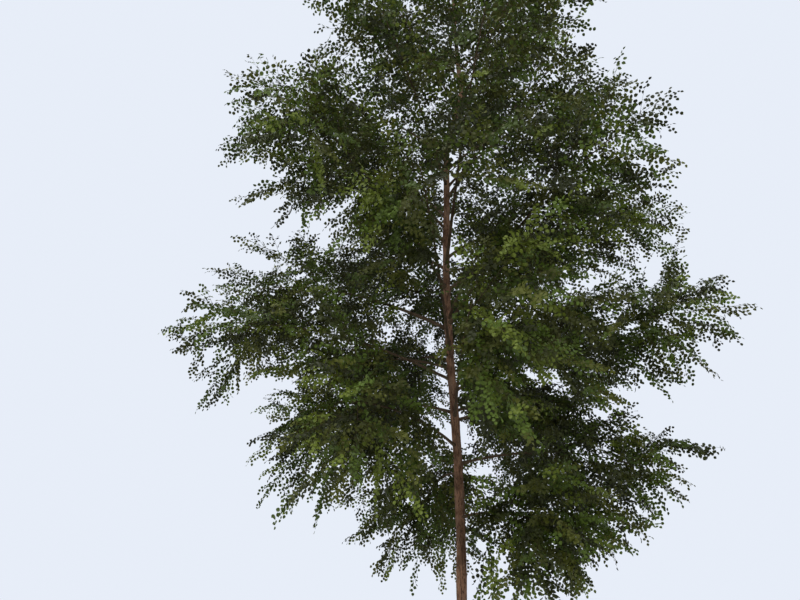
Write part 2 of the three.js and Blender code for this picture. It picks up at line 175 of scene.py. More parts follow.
# Further sprays between the frame's own, which only the looks have
FILLERS_ON_TWIG = [0.1, 0.35, 0.6]
FILLERS_ON_STEM = [0.0, 0.1, 0.2, 0.3, 0.4, 0.5, 0.6, 0.7]
FILLERS_ON_LOW_BOUGH = [-0.34, -0.17]
LOW_BOUGH_UNDER = 6.5
FILLER_CUTS = [1.0, 0.7]
FILLER_TURNS = [math.radians(turn) for turn in (90, -90, 40, -140, 0)]
FILLER_SPREAD_LEAST = 0.2
TOP_FILLER_SPREAD_LEAST = 0.43

# Shoots of a spray: leafy plumes that arch and then hang at their tips
SHOOT_SHARE = 0.97
SHOOT_ARCH = 0.05
SHOOT_DROOP = 0.13
SIDE_SHOOTS = 5
SIDE_SHOOTS_FROM = 0.08
SIDE_SHOOTS_TO = 0.66
SIDE_SHOOT_SHIFT = 0.06
SIDE_SHOOT_ANGLE = math.radians(40)
SIDE_SHOOT_ANGLE_RANGE = (0.75, 1.25)
SIDE_SHOOT_LENGTH = 0.6
SIDE_SHOOT_LENGTH_RANGE = (0.8, 1.15)
SIDE_SHOOT_LEAST = 0.16
SIDE_SHOOT_RISE = 0.85
SIDE_SHOOT_DROOP = 1.3 * SHOOT_DROOP

# Leaves along a shoot: set alternately, and larger and further apart in the crown's upper part
LEAF_SPACING = 0.047
LEAF_CROWDING = 0.82
FEWEST_LEAVES = 4
TOP_FROM = 5.5
TOP_TO = 10.5
TOP_SPACING = 2.7
TOP_SIZE = 1.42
LEAF_SIZE_RANGE = (0.85, 1.15)
LEAF_SIZE_AT_ROOT = 1.08
LEAF_SIZE_AT_TIP = 0.82
LEAF_ANGLE = math.radians(56)
LEAF_ANGLE_RANGE = (0.8, 1.2)
LEAF_ANGLE_SHARE_AT_TIP = 0.6
TIP_LEAF_ANGLE = 0.1
LEAF_LIFT = 0.3
LEAF_DROOP = 0.4
LEAF_DROOP_RANGE = (0.3, 1.6)
LEAF_TILT = 0.95
SHOOT_TILT = 0.36
LEAF_MIDDLE = 0.55
LEAF_GAP_HALF_WIDTH = 0.06
BOX_MARGIN = 0.05

# A leaf: compound, with a leaflet at its tip and others set alternately
LEAF_FORMS = 4
LEAF_LENGTH = 0.17
STALK_LENGTH = 0.02
RACHIS_WIDTH = 0.003
LEAFLETS = 4
LEAFLET_LENGTH = 0.046
LEAFLET_LENGTH_RANGE = (0.9, 1.1)
LEAFLET_HALF_WIDTH = 0.46
LEAFLET_SIDE = [(0.22, 0.88), (0.64, 0.94)]
LEAFLET_FOLD = 0.22
LEAFLET_CURL = 0.12
LEAFLET_RISE_RANGE = (-0.35, 0.05)
LEAFLET_ROLL_RANGE = (-0.35, 0.35)
LEAFLET_DEGREES = (55, 75)
TIP_LEAFLET_DEGREES = (-8, 8)

# Leaf colours in linear light, each with its share of the shoots, from the darkest green to the freshest
LEAF_COLOURS = {
    "shade": ((0.024, 0.028, 0.005), 0.15),
    "deep": ((0.037, 0.044, 0.006), 0.17),
    "moss": ((0.054, 0.059, 0.007), 0.17),
    "green": ((0.052, 0.079, 0.008), 0.17),
    "olive": ((0.090, 0.097, 0.011), 0.13),
    "leaf_green": ((0.080, 0.121, 0.011), 0.12),
    "fresh": ((0.120, 0.152, 0.015), 0.09),
}
# Painted light: sprays towards the crown's edge get lighter greens and those further in get darker ones,
# which is painted shade.
PAINTED_LIGHT_BY_OUTNESS = 0.22
FRESHNESS_BY_CHANCE = 0.12
FRESHNESS_BY_SHOOT = 0.26
SLIMMEST_CROWN = 0.5
LEAF_ROUGHNESS = 0.56
LEAF_SPECULAR = 0.27

# Barks: their colours in linear light, and how far their pattern is drawn out, how fine it is and how deep
BARKS = {
    "trunk_bark": {
        "furrow": (0.075, 0.040, 0.027),
        "ridge": (0.430, 0.238, 0.140),
        "patch": (0.330, 0.205, 0.132),
        "stretch": 0.12,
        "scale": 34,
        "bump_depth": 0.004,
    },
    "bough_bark": {
        "furrow": (0.060, 0.040, 0.026),
        "ridge": (0.190, 0.128, 0.072),
        "patch": (0.145, 0.112, 0.070),
        "stretch": 0.4,
        "scale": 60,
        "bump_depth": 0.002,
    },
    "twig_bark": {
        "furrow": (0.050, 0.036, 0.020),
        "ridge": (0.100, 0.070, 0.038),
        "patch": (0.072, 0.072, 0.034),
        "stretch": 0.5,
        "scale": 120,
        "bump_depth": 0.0005,
    },
}
BARK_ROUGHNESS = 0.88
BARK_SPECULAR = 0.15
SEAM_WIDTH = 0.042
SEAM_DETAIL = 4
SEAM_ROUGHNESS = 0.55
CRACK_WIDTH = 0.018
CRACK_SCALE = 2.6
CRACK_SHADE = (0.8, 0.76, 0.72, 1)
CRACK_HEIGHT = 0.3
GRAIN_SCALE = 5
GRAIN_DETAIL = 8
GRAIN_ROUGHNESS = 0.75
GRAIN_RANGE = (0.3, 0.7)
GRAIN_SHADE = (0.5, 0.46, 0.43, 1)
GRAIN_HEIGHT = 0.5
PATCH_SCALE = 0.45
PATCH_DETAIL = 3
PATCH_RANGE = (0.4, 0.65)
BROAD_PATCH_SCALE = 0.12
BROAD_PATCH_DETAIL = 4
BROAD_PATCH_RANGE = (0.45, 0.6)
BROAD_PATCH_SHADE = 0.55
BUMP_STRENGTH = 0.9
WHITE = (1, 1, 1, 1)

# Trunk relief. Waves are given by their range of turns round the trunk, their range of rises and their count
TRUNK_SIDES = 60
TRUNK_RINGS = 520
FURROW_WAVES = ((5, 13), (0.6, 2.6), 9)
FURROW_DEPTH = 0.003
FURROW_WIDTH = 0.28
GRAIN_WAVES = ((14, 26), (2, 9), 9)
GRAIN_DEPTH = 0.0007
BULGE_WAVES = ((1, 4), (0.5, 1.6), 5)
BULGE_DEPTH = 0.0025
KNOTS = 34
KNOT_LOW = 0.5
KNOT_HIGH = 9.5
KNOT_SHIFT = 0.1
KNOT_SIZE_RANGE = (0.6, 1.2)
KNOT_RISE = 0.008
KNOT_WIDTH = 0.022
KNOT_HEIGHT = 0.035
KNOT_PIT_DEPTH = 0.006
KNOT_PIT_WIDTH = 0.008
KNOT_PIT_HEIGHT = 0.012
COLLAR_RISE = 0.35 * STEM_RADIUS
COLLAR_DROP = 0.01
COLLAR_WIDTH = 0.03
COLLAR_HEIGHT = 0.05

# Bough relief
BOUGH_SIDES = 10
BOUGH_RINGS = 36
BOUGH_TIP_RADIUS = 0.005
BOUGH_COLLAR_SWELL = 0.7
BOUGH_COLLAR_LENGTH = 0.05
BOUGH_WAVES = ((1, 4), (1.5, 6), 6)
BOUGH_LUMPS = 0.09

# Twigs and shoots: radius at the root, radius at the tip, sides and rings
TWIG_TUBE = (0.007, 0.0025, 5, 4)
SHOOT_TUBE = (0.0028, 0.0012, 3, 2)

# Floor, light and camera
FLOOR_SIZE = 600
FLOOR_COLOUR = (0.62, 0.62, 0.60)
FLOOR_ROUGHNESS = 0.9
SKY_COLOUR = (0.80, 0.85, 0.94, 1)
SKY_STRENGTH = 1.0
SUN_ENERGY = 1.6
SUN_WIDTH = math.radians(25)
SUN_TURNS = (math.radians(35), 0, math.radians(-30))
SENSOR_WIDTH = 36
LENS = 28.08
CAMERA_TURNS = (math.radians(116), 0, 0)


def seeded(seed):
    """A generator of numbers from 0 to 1 that gives the same run for the same seed, as the frame's does."""
    mask = 0xFFFFFFFF
    state = seed & mask

    def draw():
        nonlocal state
        state = (state + 0x6D2B79F5) & mask
        t = state
        t = ((t ^ (t >> 15)) * (t | 1)) & mask
        t ^= (t + (((t ^ (t >> 7)) * (t | 61)) & mask)) & mask
        return (t ^ (t >> 14)) / 4294967296

    return draw


def mix(a, b, share):
    return a + (b - a) * share


def around(draw):
    return 2 * draw() - 1


def unit(rows):
    return rows / np.linalg.norm(rows, axis=-1, keepdims=True)


def dot(a, b):
    return (a * b).sum(-1)


class Curve:
    """A quadratic curve with three control points, or a row of such curves.

    A side shoot's fork is the share of its main shoot's length at which it stands.
    """

    fork = 0.0

    def __init__(self, start, knee, end):
        self.start = start
        self.knee = knee
        self.end = end

    def point(self, share):
        t = np.asarray(share, float)[..., None]
        return (1 - t) ** 2 * self.start + 2 * (1 - t) * t * self.knee + t**2 * self.end

    def tangent(self, share):
        share = np.asarray(share, float)
        step = 1e-4
        return unit(self.point(np.minimum(1, share + step)) - self.point(np.maximum(0, share - step)))

    def places(self, start, stop, rings):
        return self.point(np.linspace(start, stop, rings + 1))

    def cut(self, share):
        """The stretch from the start to a share of the whole."""
        return Curve(self.start, mix(self.start, self.knee, share), self.point(share))


def line(start, end):
    return Curve(start, (start + end) / 2, end)


def trunk_axis(z):
    z = np.asarray(z, float)
    turn = 2 * np.pi * z / TRUNK_SWAY_LENGTH
    share = np.clip((z - LEADER_SHIFT_FROM) / LEADER_SHIFT_RUN, 0, 1)
    step = share * share * (3 - 2 * share)
    x = TRUNK_SWAY * (1 - np.cos(turn)) + LEADER_SHIFT * step
    return np.stack([x, TRUNK_SWAY * np.sin(TRUNK_SWAY_Y_PACE * turn), z], axis=-1)


def trunk_radius(z):
    taper = TRUNK_RADIUS * np.power(np.maximum(0, 1 - np.asarray(z) / TRUNK_TAPER_ENDS_AT), TRUNK_TAPER)
    return taper + ROOT_FLARE * np.exp(-np.asarray(z) / ROOT_FLARE_HEIGHT)


def crown_radius(z):
    z = np.asarray(z, float)
    above = z > CROWN_WIDEST_AT
    span = np.where(above, TREE_HEIGHT - CROWN_WIDEST_AT, CROWN_WIDEST_AT - CROWN_FOOT)
    share = np.minimum(1, np.abs(z - CROWN_WIDEST_AT) / span)
    power = np.where(above, CROWN_ROUNDNESS_ABOVE, CROWN_ROUNDNESS_BELOW)
    return CROWN_RADIUS * np.power(1 - np.power(share, power), 1 / power)


def crown_reach(azimuth, z):
    """The crown's radius on one side, with the hollow taken off."""
    aside = np.arccos(np.cos(azimuth - HOLLOW_AZIMUTH)) / HOLLOW_HALF_TURN
    above = (z - HOLLOW_HEIGHT) / HOLLOW_HALF_HEIGHT
    return crown_radius(z) * (1 - HOLLOW_DEPTH * np.exp(-(aside**2) - above**2))


def spread_heights(count):
    """Heights that share the crown's surface evenly among count masses, lowest first."""
    steps = 400
    step_height = (TREE_HEIGHT - LOWEST_TIP) / steps
    low = LOWEST_TIP + step_height * np.arange(steps)
    slant = np.hypot(step_height, crown_radius(low + step_height) - crown_radius(low))
    sums = np.concatenate([[0], np.cumsum(crown_radius(low + step_height / 2) * slant)])
    wanted = (np.arange(count) + 0.5) / count * sums[-1]
    return LOWEST_TIP + step_height * np.interp(wanted, sums, np.arange(steps + 1))


def limb_to(tip_height, azimuth, reach):
    """The centre line of a limb, from the trunk's centre to the end of its mass's stem."""
    crown_share = (tip_height - LOWEST_TIP) / (TREE_HEIGHT - LOWEST_TIP)
    rise = mix(LIMB_RISE_LOW, LIMB_RISE_HIGH, crown_share**LIMB_RISE_POWER)
    root_height = tip_height - reach * math.tan(rise)
    root = trunk_axis(min(max(root_height, LOWEST_LIMB), HIGHEST_LIMB))
    tip = trunk_axis(tip_height) + reach * np.array([math.cos(azimuth), math.sin(azimuth), 0])
    knee = (root + tip) / 2 + 2 * LIMB_ARCH * np.linalg.norm(tip - root) * UP
    return Curve(root, knee, tip)


def limb_curves():
    curves = []
    for k, height in enumerate(spread_heights(SHELL_MASSES)):
        draw = seeded(SEED + k)
        azimuth = FIRST_AZIMUTH + k * GOLDEN_ANGLE + AZIMUTH_JITTER * around(draw)
        lowness = 1 - (height - LOWEST_TIP) / (TREE_HEIGHT - LOWEST_TIP)
        lift = CROWN_FOOT_LIFT * lowness * lowness * 0.5 * (1 - math.cos(azimuth))
        reach = crown_reach(azimuth, height) * (1 + REACH_JITTER * around(draw)) - TIP_INSET
        curves.append(limb_to(height + lift, azimuth, max(SHORTEST_REACH, reach)))
    for k in range(INNER_MASSES):
        height = mix(INNER_LOW, INNER_HIGH, k / (INNER_MASSES - 1))
        azimuth = FIRST_AZIMUTH + (k + INNER_TURN) * GOLDEN_ANGLE
        curves.append(limb_to(height, azimuth, INNER_REACH * float(crown_radius(height))))
    top = trunk_axis(TRUNK_HEIGHT)
    curves.append(line(top, np.array([top[0], top[1], TREE_HEIGHT - TIP_INSET])))
    return curves


class Limb:
    """A limb, bare at first and then leafy. A long one's bare stretch is a bough of its own."""

    def __init__(self, curve, on_trunk_tip):
        self.curve = curve
        self.on_trunk_tip = on_trunk_tip
        self.length = np.linalg.norm(np.diff(curve.places(0, 1, LENGTH_STEPS), axis=0), axis=1).sum()
        self.leafy_from = max(LEAFY_FROM_LEAST, 1 - LEAFY_LENGTH / self.length)
        if on_trunk_tip:
            self.leafy_from = TOP_LEAFY_FROM
        self.has_bough = self.length > BOUGH_FROM_LENGTH
        self.bare = curve.places(0, self.leafy_from, BARE_STEPS)
        self.leafy = curve.places(self.leafy_from, 1, LEAFY_STEPS)


LIMB_CURVES = limb_curves()
LIMBS = [Limb(curve, k == len(LIMB_CURVES) - 1) for k, curve in enumerate(LIMB_CURVES)]
BARE_PATHS = np.array([limb.bare for limb in LIMBS])
LEAFY_PATHS = np.array([limb.leafy for limb in LIMBS])


def path_distances(points, paths):
    """The distance of each point to each path."""
    starts = paths[:, :-1]
    reach = paths[:, 1:] - starts
    offset = points[:, None, None, :] - starts
    share = np.clip(dot(offset, reach) / dot(reach, reach), 0, 1)
    return np.linalg.norm(offset - share[..., None] * reach, axis=-1).min(-1)


def is_in_crown(points):
    """Which points are off the trunk and within the crown."""
    z = points[..., 2]
    offset = points - trunk_axis(z)
    reach = np.hypot(offset[..., 0], offset[..., 1])
    off_trunk = (z > TRUNK_HEIGHT) | (reach > trunk_radius(z) + LIMB_CLEARANCE)
    crown_edge = crown_reach(np.arctan2(offset[..., 1], offset[..., 0]), z) + CROWN_SLACK
    return off_trunk & (z < TREE_HEIGHT) & (reach < crown_edge)


def hides_trunk(groups, half_width):
    """Which groups of points would stand between the viewer and the trunk."""
    nearness = VIEWER[1] / (VIEWER[1] - groups[..., 1])
    seen = VIEWER + nearness[..., None] * (groups - VIEWER)
    counted = (groups[..., 1] < -trunk_radius(0)) & (seen[..., 2] < GAP_TOP)
    offset = seen[..., 0] - trunk_axis(seen[..., 2])[..., 0]
    lowest = np.where(counted, offset, np.inf).min(-1)
    highest = np.where(counted, offset, -np.inf).max(-1)
    return (lowest < half_width) & (highest > -half_width)


def keeps_to_space(points, own):
    """Which points keep to a mass's own space, off the limbs."""
    off_limbs = (path_distances(points, BARE_PATHS) > LIMB_SPACE).all(-1)
    to_leafy = path_distances(points, LEAFY_PATHS)
    own_distance = to_leafy[:, own] + SPACE_CLEARANCE
    to_leafy[:, own] = np.inf
    return off_limbs & (to_leafy.min(-1) > own_distance)


def are_clear(points, own):
    if not is_in_crown(points).all() or hides_trunk(points[None], GAP_HALF_WIDTH)[0]:
        return False
    return bool(keeps_to_space(points, own).all())


def shoot_direction(parent, angle, turn, flatness):
    """A shoot's direction: turned from its parent's by an angle, towards a side turned round the parent."""
    level = np.where(np.abs(parent[..., 2:3]) > NEARLY_UPRIGHT, RIGHT, UP)
    upward = unit(level - dot(level, parent)[..., None] * parent)
    sideways = np.cross(parent, upward)
    angle = np.asarray(angle, float)[..., None]
    turn = np.asarray(turn, float)[..., None]
    away = unit(np.cos(turn) * sideways + flatness * np.sin(turn) * upward)
    return np.cos(angle) * parent + np.sin(angle) * away


def twigs_of(own):
    """The twigs of a mass that fit its space."""
    limb = LIMBS[own]
    draw = seeded(SEED * TWIG_SEEDS + own * MASS_SEEDS)
    first_turn = 2 * math.pi * draw()
    twigs = []
    for j in range(TWIGS):
        along = (j + FIRST_TWIG_AT) / TWIGS
        share = mix(limb.leafy_from, LAST_TWIG_AT, along)
        turn = first_turn + j * GOLDEN_ANGLE + TWIG_TURN_JITTER * around(draw)
        angle = TWIG_ANGLE * (1 + TWIG_ANGLE_JITTER * around(draw))
        length = TWIG_LENGTH * (1 - TWIG_SHORTENING * along) * mix(SMALLEST, LARGEST, draw())
        root = limb.curve.point(share)
        tangent = limb.curve.tangent(share)
        for cut, aside in [(cut, aside) for cut in TWIG_CUTS for aside in TWIG_TURNS]:
            way = shoot_direction(tangent, angle, turn + aside, TWIG_FLATNESS) - TWIG_DROOP * UP
            twig = line(root, root + cut * length * way)
            if are_clear(twig.places(TWIG_FREE_FROM, 1, 4), own):
                twigs.append(twig)
                break
    return twigs


class Spray:
    """A flat spray of leaves, pointed at root and tip."""

    corners = [(0, 0), (SPRAY_WIDEST, 1), (1, 0), (SPRAY_WIDEST, -1), (0, 0)]
    samples = [(0.1, 0), (0.5 * SPRAY_WIDEST, -0.5), (0.5 * SPRAY_WIDEST, 0.5), (SPRAY_WIDEST, -1),
               (SPRAY_WIDEST, 0), (SPRAY_WIDEST, 1), (0.73, -0.5), (0.73, 0.5), (0.73, 0), (1, 0)]
    spine = [(0.2, 0), (0.5, 0), (0.8, 0), (1, 0)]

    def __init__(self, root, along, normal, size):
        self.root = root
        self.along = along
        self.normal = normal
        self.sideways = np.cross(along, normal)
        self.size = size

    def points(self, shares):
        """Points from their shares of the length and of the half width."""
        far, wide = np.array(shares, float).T[..., None]
        along = far * self.size * SPRAY_LENGTH * self.along
        return self.root + along + 0.5 * wide * self.size * SPRAY_WIDTH * self.sideways

    def middle(self):
        return self.root + SPRAY_MIDDLE * self.size * SPRAY_LENGTH * self.along


def pierces(path, sprays):
    """Whether any straight piece of a path passes through any of the sprays."""
    names = ("root", "along", "normal", "sideways")
    root, along, normal, sideways = [np.array([getattr(spray, name) for spray in sprays]) for name in names]
    size = np.array([spray.size for spray in sprays])
    above = dot(path[:, None] - root, normal)
    start, end = above[:-1], above[1:]
    crosses = (start * end <= 0) & (start != end)
    share = start / np.where(crosses, start - end, 1)
    crossing = path[:-1, None] + share[..., None] * np.diff(path, axis=0)[:, None] - root
    far = dot(crossing, along) / (size * SPRAY_LENGTH)
    wide = dot(crossing, sideways) / (0.5 * size * SPRAY_WIDTH)
    edge = np.where(far < SPRAY_WIDEST, far / SPRAY_WIDEST, (1 - far) / (1 - SPRAY_WIDEST))
    return bool((crosses & (far > SPRAY_MARGIN) & (np.abs(wide) < edge + SPRAY_MARGIN)).any())


def sprays_cross(spray, others):
    if not others:
        return False
    outline = spray.points(Spray.corners)
    return pierces(outline, others) or any(pierces(other.points(Spray.corners), [spray]) for other in others)


def spray_tries(curve, share, side, draw, cuts, turns):
    """The places a spray may take at a share of a shoot, the wanted place first."""
    root = curve.point(share)
    tangent = curve.tangent(share)
    wander = draw()
    angle = SPRAY_ANGLE * (1 + SPRAY_ANGLE_JITTER * (2 * wander - 1))
    if share >= TIP_SPRAY_FROM:
        angle = TIP_SPRAY_ANGLE * wander
    size = mix(SMALLEST, LARGEST, draw())
    tilt = np.array([around(draw), around(draw), SPRAY_TILT_UP])
    for cut in cuts:
        for turn in turns:
            along = shoot_direction(tangent, angle, side + turn, 1)
            yield Spray(root, along, unit(tilt - dot(tilt, along) * along), cut * size)


def grow_mass(own):
    """The twigs of a mass and the sprays that fit on them and on its stem, on two sides in turn."""
    limb = LIMBS[own]
    draw = seeded(SEED * SPRAY_SEEDS + own * MASS_SEEDS)
    twigs = twigs_of(own)
    wood = [limb.leafy] + [twig.places(0, 1, 2) for twig in twigs]
    stations = [(twig, share) for twig in twigs for share in SPRAYS_ON_TWIG]
    stations += [(limb.curve, mix(limb.leafy_from, 1, share)) for share in SPRAYS_ON_STEM]
    sprays = []
    for i, (curve, share) in enumerate(stations):
        side = (0 if i % 2 else math.pi) + SPRAY_SIDE_JITTER * around(draw)
        for spray in spray_tries(curve, share, side, draw, SPRAY_CUTS, SPRAY_TURNS):
            if any(pierces(path, [spray]) for path in wood) or sprays_cross(spray, sprays):
                continue
            if are_clear(spray.points(Spray.samples), own):
                sprays.append(spray)
                break
    return twigs, sprays


def upper_share(z):
    """How far up a height stands in the crown's upper part, where leaves are larger and further apart."""
    return min(1, max(0, (z - TOP_FROM) / (TOP_TO - TOP_FROM)))


def grow_fillers(own, twigs, sprays):
    """Further sprays of a mass, each turned to where its mass is emptiest."""
    limb = LIMBS[own]
    spread_least = mix(FILLER_SPREAD_LEAST, TOP_FILLER_SPREAD_LEAST, upper_share(limb.curve.end[2]))
    draw = seeded(SEED * FILLER_SEEDS + own * MASS_SEEDS)
    stations = [(twig, share) for twig in twigs for share in FILLERS_ON_TWIG]
    on_stem = FILLERS_ON_STEM
    if limb.has_bough and limb.curve.end[2] < LOW_BOUGH_UNDER:
        on_stem = FILLERS_ON_STEM + FILLERS_ON_LOW_BOUGH
    stations += [(limb.curve, mix(limb.leafy_from, 1, share)) for share in on_stem]
    middles = [spray.middle() for spray in sprays]
    fillers = []
    for i, (curve, share) in enumerate(stations):
        side = (0 if i % 2 else math.pi) + SPRAY_SIDE_JITTER * around(draw)
        best = None
        widest = spread_least
        for spray in spray_tries(curve, share, side, draw, FILLER_CUTS, FILLER_TURNS):
            spread = np.linalg.norm(np.array(middles) - spray.middle(), axis=1).min() if middles else 1.0
            if spread > widest and are_clear(spray.points(Spray.spine), own):
                best = spray
                widest = spread
        if best:
            fillers.append(best)
            middles.append(best.middle())
    return fillers


def stack(curves):
    """A row of curves as one."""
    return Curve(*[np.array([getattr(curve, name) for curve in curves]) for name in ("start", "knee", "end")])


def shoots_of(spray, random):
    """A spray's main shoot, and side shoots set on its two sides in turn, each with the share of its fork."""
    length = spray.size * SPRAY_LENGTH
    tip = spray.root + SHOOT_SHARE * length * spray.along - SHOOT_DROOP * length * UP
    main = Curve(spray.root, (spray.root + tip) / 2 + SHOOT_ARCH * length * UP, tip)
    shoots = [main]
    first_side = random.choice([-1, 1])
    for i in range(SIDE_SHOOTS):
        share = mix(SIDE_SHOOTS_FROM, SIDE_SHOOTS_TO, i / (SIDE_SHOOTS - 1))
        share += random.uniform(-SIDE_SHOOT_SHIFT, SIDE_SHOOT_SHIFT)
        reach = SIDE_SHOOT_LENGTH * (1 - share) * length * random.uniform(*SIDE_SHOOT_LENGTH_RANGE)
        reach = max(SIDE_SHOOT_LEAST, reach)
        angle = SIDE_SHOOT_ANGLE * random.uniform(*SIDE_SHOOT_ANGLE_RANGE)
        side = first_side * (-1) ** i * spray.sideways
        out = unit(side + random.uniform(-SIDE_SHOOT_RISE, SIDE_SHOOT_RISE) * spray.normal)
        direction = math.cos(angle) * main.tangent(share) + math.sin(angle) * out
        root = main.point(share)
        end = root + reach * direction - SIDE_SHOOT_DROOP * reach * UP
        side_shoot = Curve(root, (root + end) / 2 + SHOOT_ARCH * reach * UP, end)
        side_shoot.fork = share
        shoots.append(side_shoot)
    return shoots


class Leaves:
    """Rows of compound leaves: their roots, directions, normals and sizes, and each one's shoot."""

    columns = ("root", "along", "normal", "size", "shoot")

    def __init__(self, root, along, normal, size, shoot):
        self.root = root
        self.along = along
        self.normal = normal
        self.size = size
        self.shoot = shoot

    def chosen(self, which):
        return Leaves(*[getattr(self, name)[which] for name in Leaves.columns])


def leaves_along(shoot, number, random):
    """The leaves of one shoot, closer and closer up to one at its tip, and their shares of its length."""
    upper = upper_share(shoot.end[2])
    spacing = LEAF_SPACING * mix(1, TOP_SPACING, upper)
    count = max(FEWEST_LEAVES, round(np.linalg.norm(shoot.end - shoot.start) / spacing))
    share = ((np.arange(count) + 1) / count) ** LEAF_CROWDING
    along = shoot.tangent(share)
    side = random.choice([-1, 1]) * (-1) ** np.arange(count)
    angle = LEAF_ANGLE * mix(1.0, LEAF_ANGLE_SHARE_AT_TIP, share) * random.uniform(*LEAF_ANGLE_RANGE, count)
    angle[-1] = TIP_LEAF_ANGLE
    flat = unit(UP + random.normal(0, SHOOT_TILT, 3))
    sideways = unit(np.cross(along, flat))
    out = unit(side[:, None] * sideways + random.normal(0, LEAF_LIFT, (count, 1)) * flat)
    direction = np.cos(angle)[:, None] * along + np.sin(angle)[:, None] * out
    direction = unit(direction - LEAF_DROOP * random.uniform(*LEAF_DROOP_RANGE, (count, 1)) * UP)
    normal = UP + LEAF_TILT * random.normal(0, 1, (count, 3))
    normal = unit(normal - dot(normal, direction)[:, None] * direction)
    size = random.uniform(*LEAF_SIZE_RANGE, count) * mix(LEAF_SIZE_AT_ROOT, LEAF_SIZE_AT_TIP, share)
    size *= mix(1, TOP_SIZE, upper)
    return Leaves(shoot.point(share), direction, normal, size, np.full(count, number)), share


def joined(rows):
    return Leaves(*[np.concatenate([getattr(row, name) for row in rows]) for name in Leaves.columns])


def is_in_box(points):
    """Which points are within the frame's box, or at most a margin outside it."""
    lowest, highest = np.array(cad_box)
    return ((points > lowest - BOX_MARGIN) & (points < highest + BOX_MARGIN)).all(-1)


def dress(shoots, first_number, own, random):
    """The leaves of a mass's shoots that keep to its space, and the shoots cut to their last leaf or fork."""
    rows = [leaves_along(shoot, first_number + i, random) for i, shoot in enumerate(shoots)]
    leaves = joined([row for row, _ in rows])
    reach = (leaves.size * LEAF_LENGTH)[:, None]
    middle = leaves.root + LEAF_MIDDLE * reach * leaves.along
    tip = leaves.root + reach * leaves.along
    keeps = keeps_to_space(middle, own) & is_in_crown(middle) & is_in_crown(tip) & is_in_crown(leaves.root)
    keeps &= ~hides_trunk(np.stack([middle, tip], axis=1), LEAF_GAP_HALF_WIDTH)
    keeps &= is_in_box(tip)
    cuts = []
    first = 0
    for _, share in rows:
        kept = keeps[first:first + len(share)]
        if kept.sum() < FEWEST_LEAVES:
            kept[:] = False
        cuts.append((share * kept).max())
        first += len(share)
    for main in range(0, len(shoots), 1 + SIDE_SHOOTS):
        spray_shoots = range(main, main + 1 + SIDE_SHOOTS)
        cuts[main] = max([cuts[main]] + [shoots[i].fork for i in spray_shoots if cuts[i]])
    return leaves.chosen(keeps), [shoot.cut(share) for shoot, share in zip(shoots, cuts) if share]


def freshness_and_painted_light(spray, random):
    """How light a spray's green is: fresh by chance, and a little lighter towards the crown's edge, which is
    painted light, with painted shade further in.
    """
    tip = spray.points([(1, 0)])[0]
    offset = tip - trunk_axis(tip[2])
    outness = np.hypot(offset[0], offset[1]) / max(SLIMMEST_CROWN, float(crown_radius(tip[2])))
    # The outness term is painted light at the crown's edge and painted shade further in. The chance term is
    # the leaves' own varied tone.
    return PAINTED_LIGHT_BY_OUTNESS * min(1, outness) + random.normal(0, FRESHNESS_BY_CHANCE)


def dealt_colours(scores):
    """Each shoot's colour number, dealt out by the colours' shares from the least score to the greatest."""
    rank = np.argsort(np.argsort(scores)) / len(scores)
    ends = np.cumsum([share for _, share in LEAF_COLOURS.values()])
    return np.minimum(np.searchsorted(ends, rank, side="right"), len(ends) - 1)


class Parts:
    """Vertices and triangles gathered for one mesh."""

    def __init__(self):
        self.vertices = []
        self.faces = []
        self.count = 0

    def add(self, vertices, faces):
        self.vertices.append(vertices)
        self.faces.append(faces + self.count)
        self.count += len(vertices)

    def mesh(self, name, smooth=False):
        vertices = np.concatenate(self.vertices).astype(np.float32)
        faces = np.concatenate(self.faces).astype(np.int32)
        mesh = bpy.data.meshes.new(name)
        mesh.vertices.add(len(vertices))
        mesh.vertices.foreach_set("co", vertices.ravel())
        mesh.loops.add(faces.size)
        mesh.loops.foreach_set("vertex_index", faces.ravel())
        mesh.polygons.add(len(faces))
        mesh.polygons.foreach_set("loop_start", np.arange(0, faces.size, faces.shape[1], dtype=np.int32))
        mesh.polygons.foreach_set("use_smooth", np.full(len(faces), smooth))
        mesh.update(calc_edges=True)
        mesh.validate()
        return mesh


def tube_faces(sides, rings):
    """The triangles of one tube's wall."""
    ring, side = np.meshgrid(np.arange(rings), np.arange(sides), indexing="ij")
    a = ring * sides + side
    b = ring * sides + (side + 1) % sides
    walls = np.concatenate([np.stack([a, b, b + sides], -1), np.stack([a, b + sides, a + sides], -1)])
    return walls.reshape(-1, 3)


def add_tube(parts, rows):
    """A tube through rows of ring points, with two ends of their own points, so that they shade flat."""
    rings, sides = rows.shape[0] - 1, rows.shape[1]
    side = np.arange(sides)
    middle = np.full(sides, sides)
    parts.add(rows.reshape(-1, 3), tube_faces(sides, rings))
    after = (side + 1) % sides
    for row, fan in ((rows[0], (middle, after, side)), (rows[-1], (middle, side, after))):
        parts.add(np.concatenate([row, row.mean(0)[None]]), np.stack(fan, -1))


def add_tubes(parts, curves, root_radius, tip_radius, sides, rings):
    """A thin tapering tube along each of a row of curves, open at its ends."""
    count = len(curves.start)
    share = np.linspace(0, 1, rings + 1)
    centre = np.stack([curves.point(np.full(count, s)) for s in share], axis=1)
    along = np.stack([curves.tangent(np.full(count, s)) for s in share], axis=1)
    level = np.where(np.abs(along[..., 2:3]) > NEARLY_UPRIGHT, RIGHT, UP)
    upward = unit(level - dot(level, along)[..., None] * along)
    sideways = np.cross(along, upward)
    radius = mix(root_radius, tip_radius, share)
    turn = 2 * np.pi * np.arange(sides) / sides
    ring = np.cos(turn)[:, None] * upward[:, :, None] + np.sin(turn)[:, None] * sideways[:, :, None]
    vertices = centre[:, :, None] + radius[:, None, None] * ring
    per_tube = (rings + 1) * sides
    faces = tube_faces(sides, rings)[None] + per_tube * np.arange(count)[:, None, None]
    parts.add(vertices.reshape(-1, 3), faces.reshape(-1, 3))


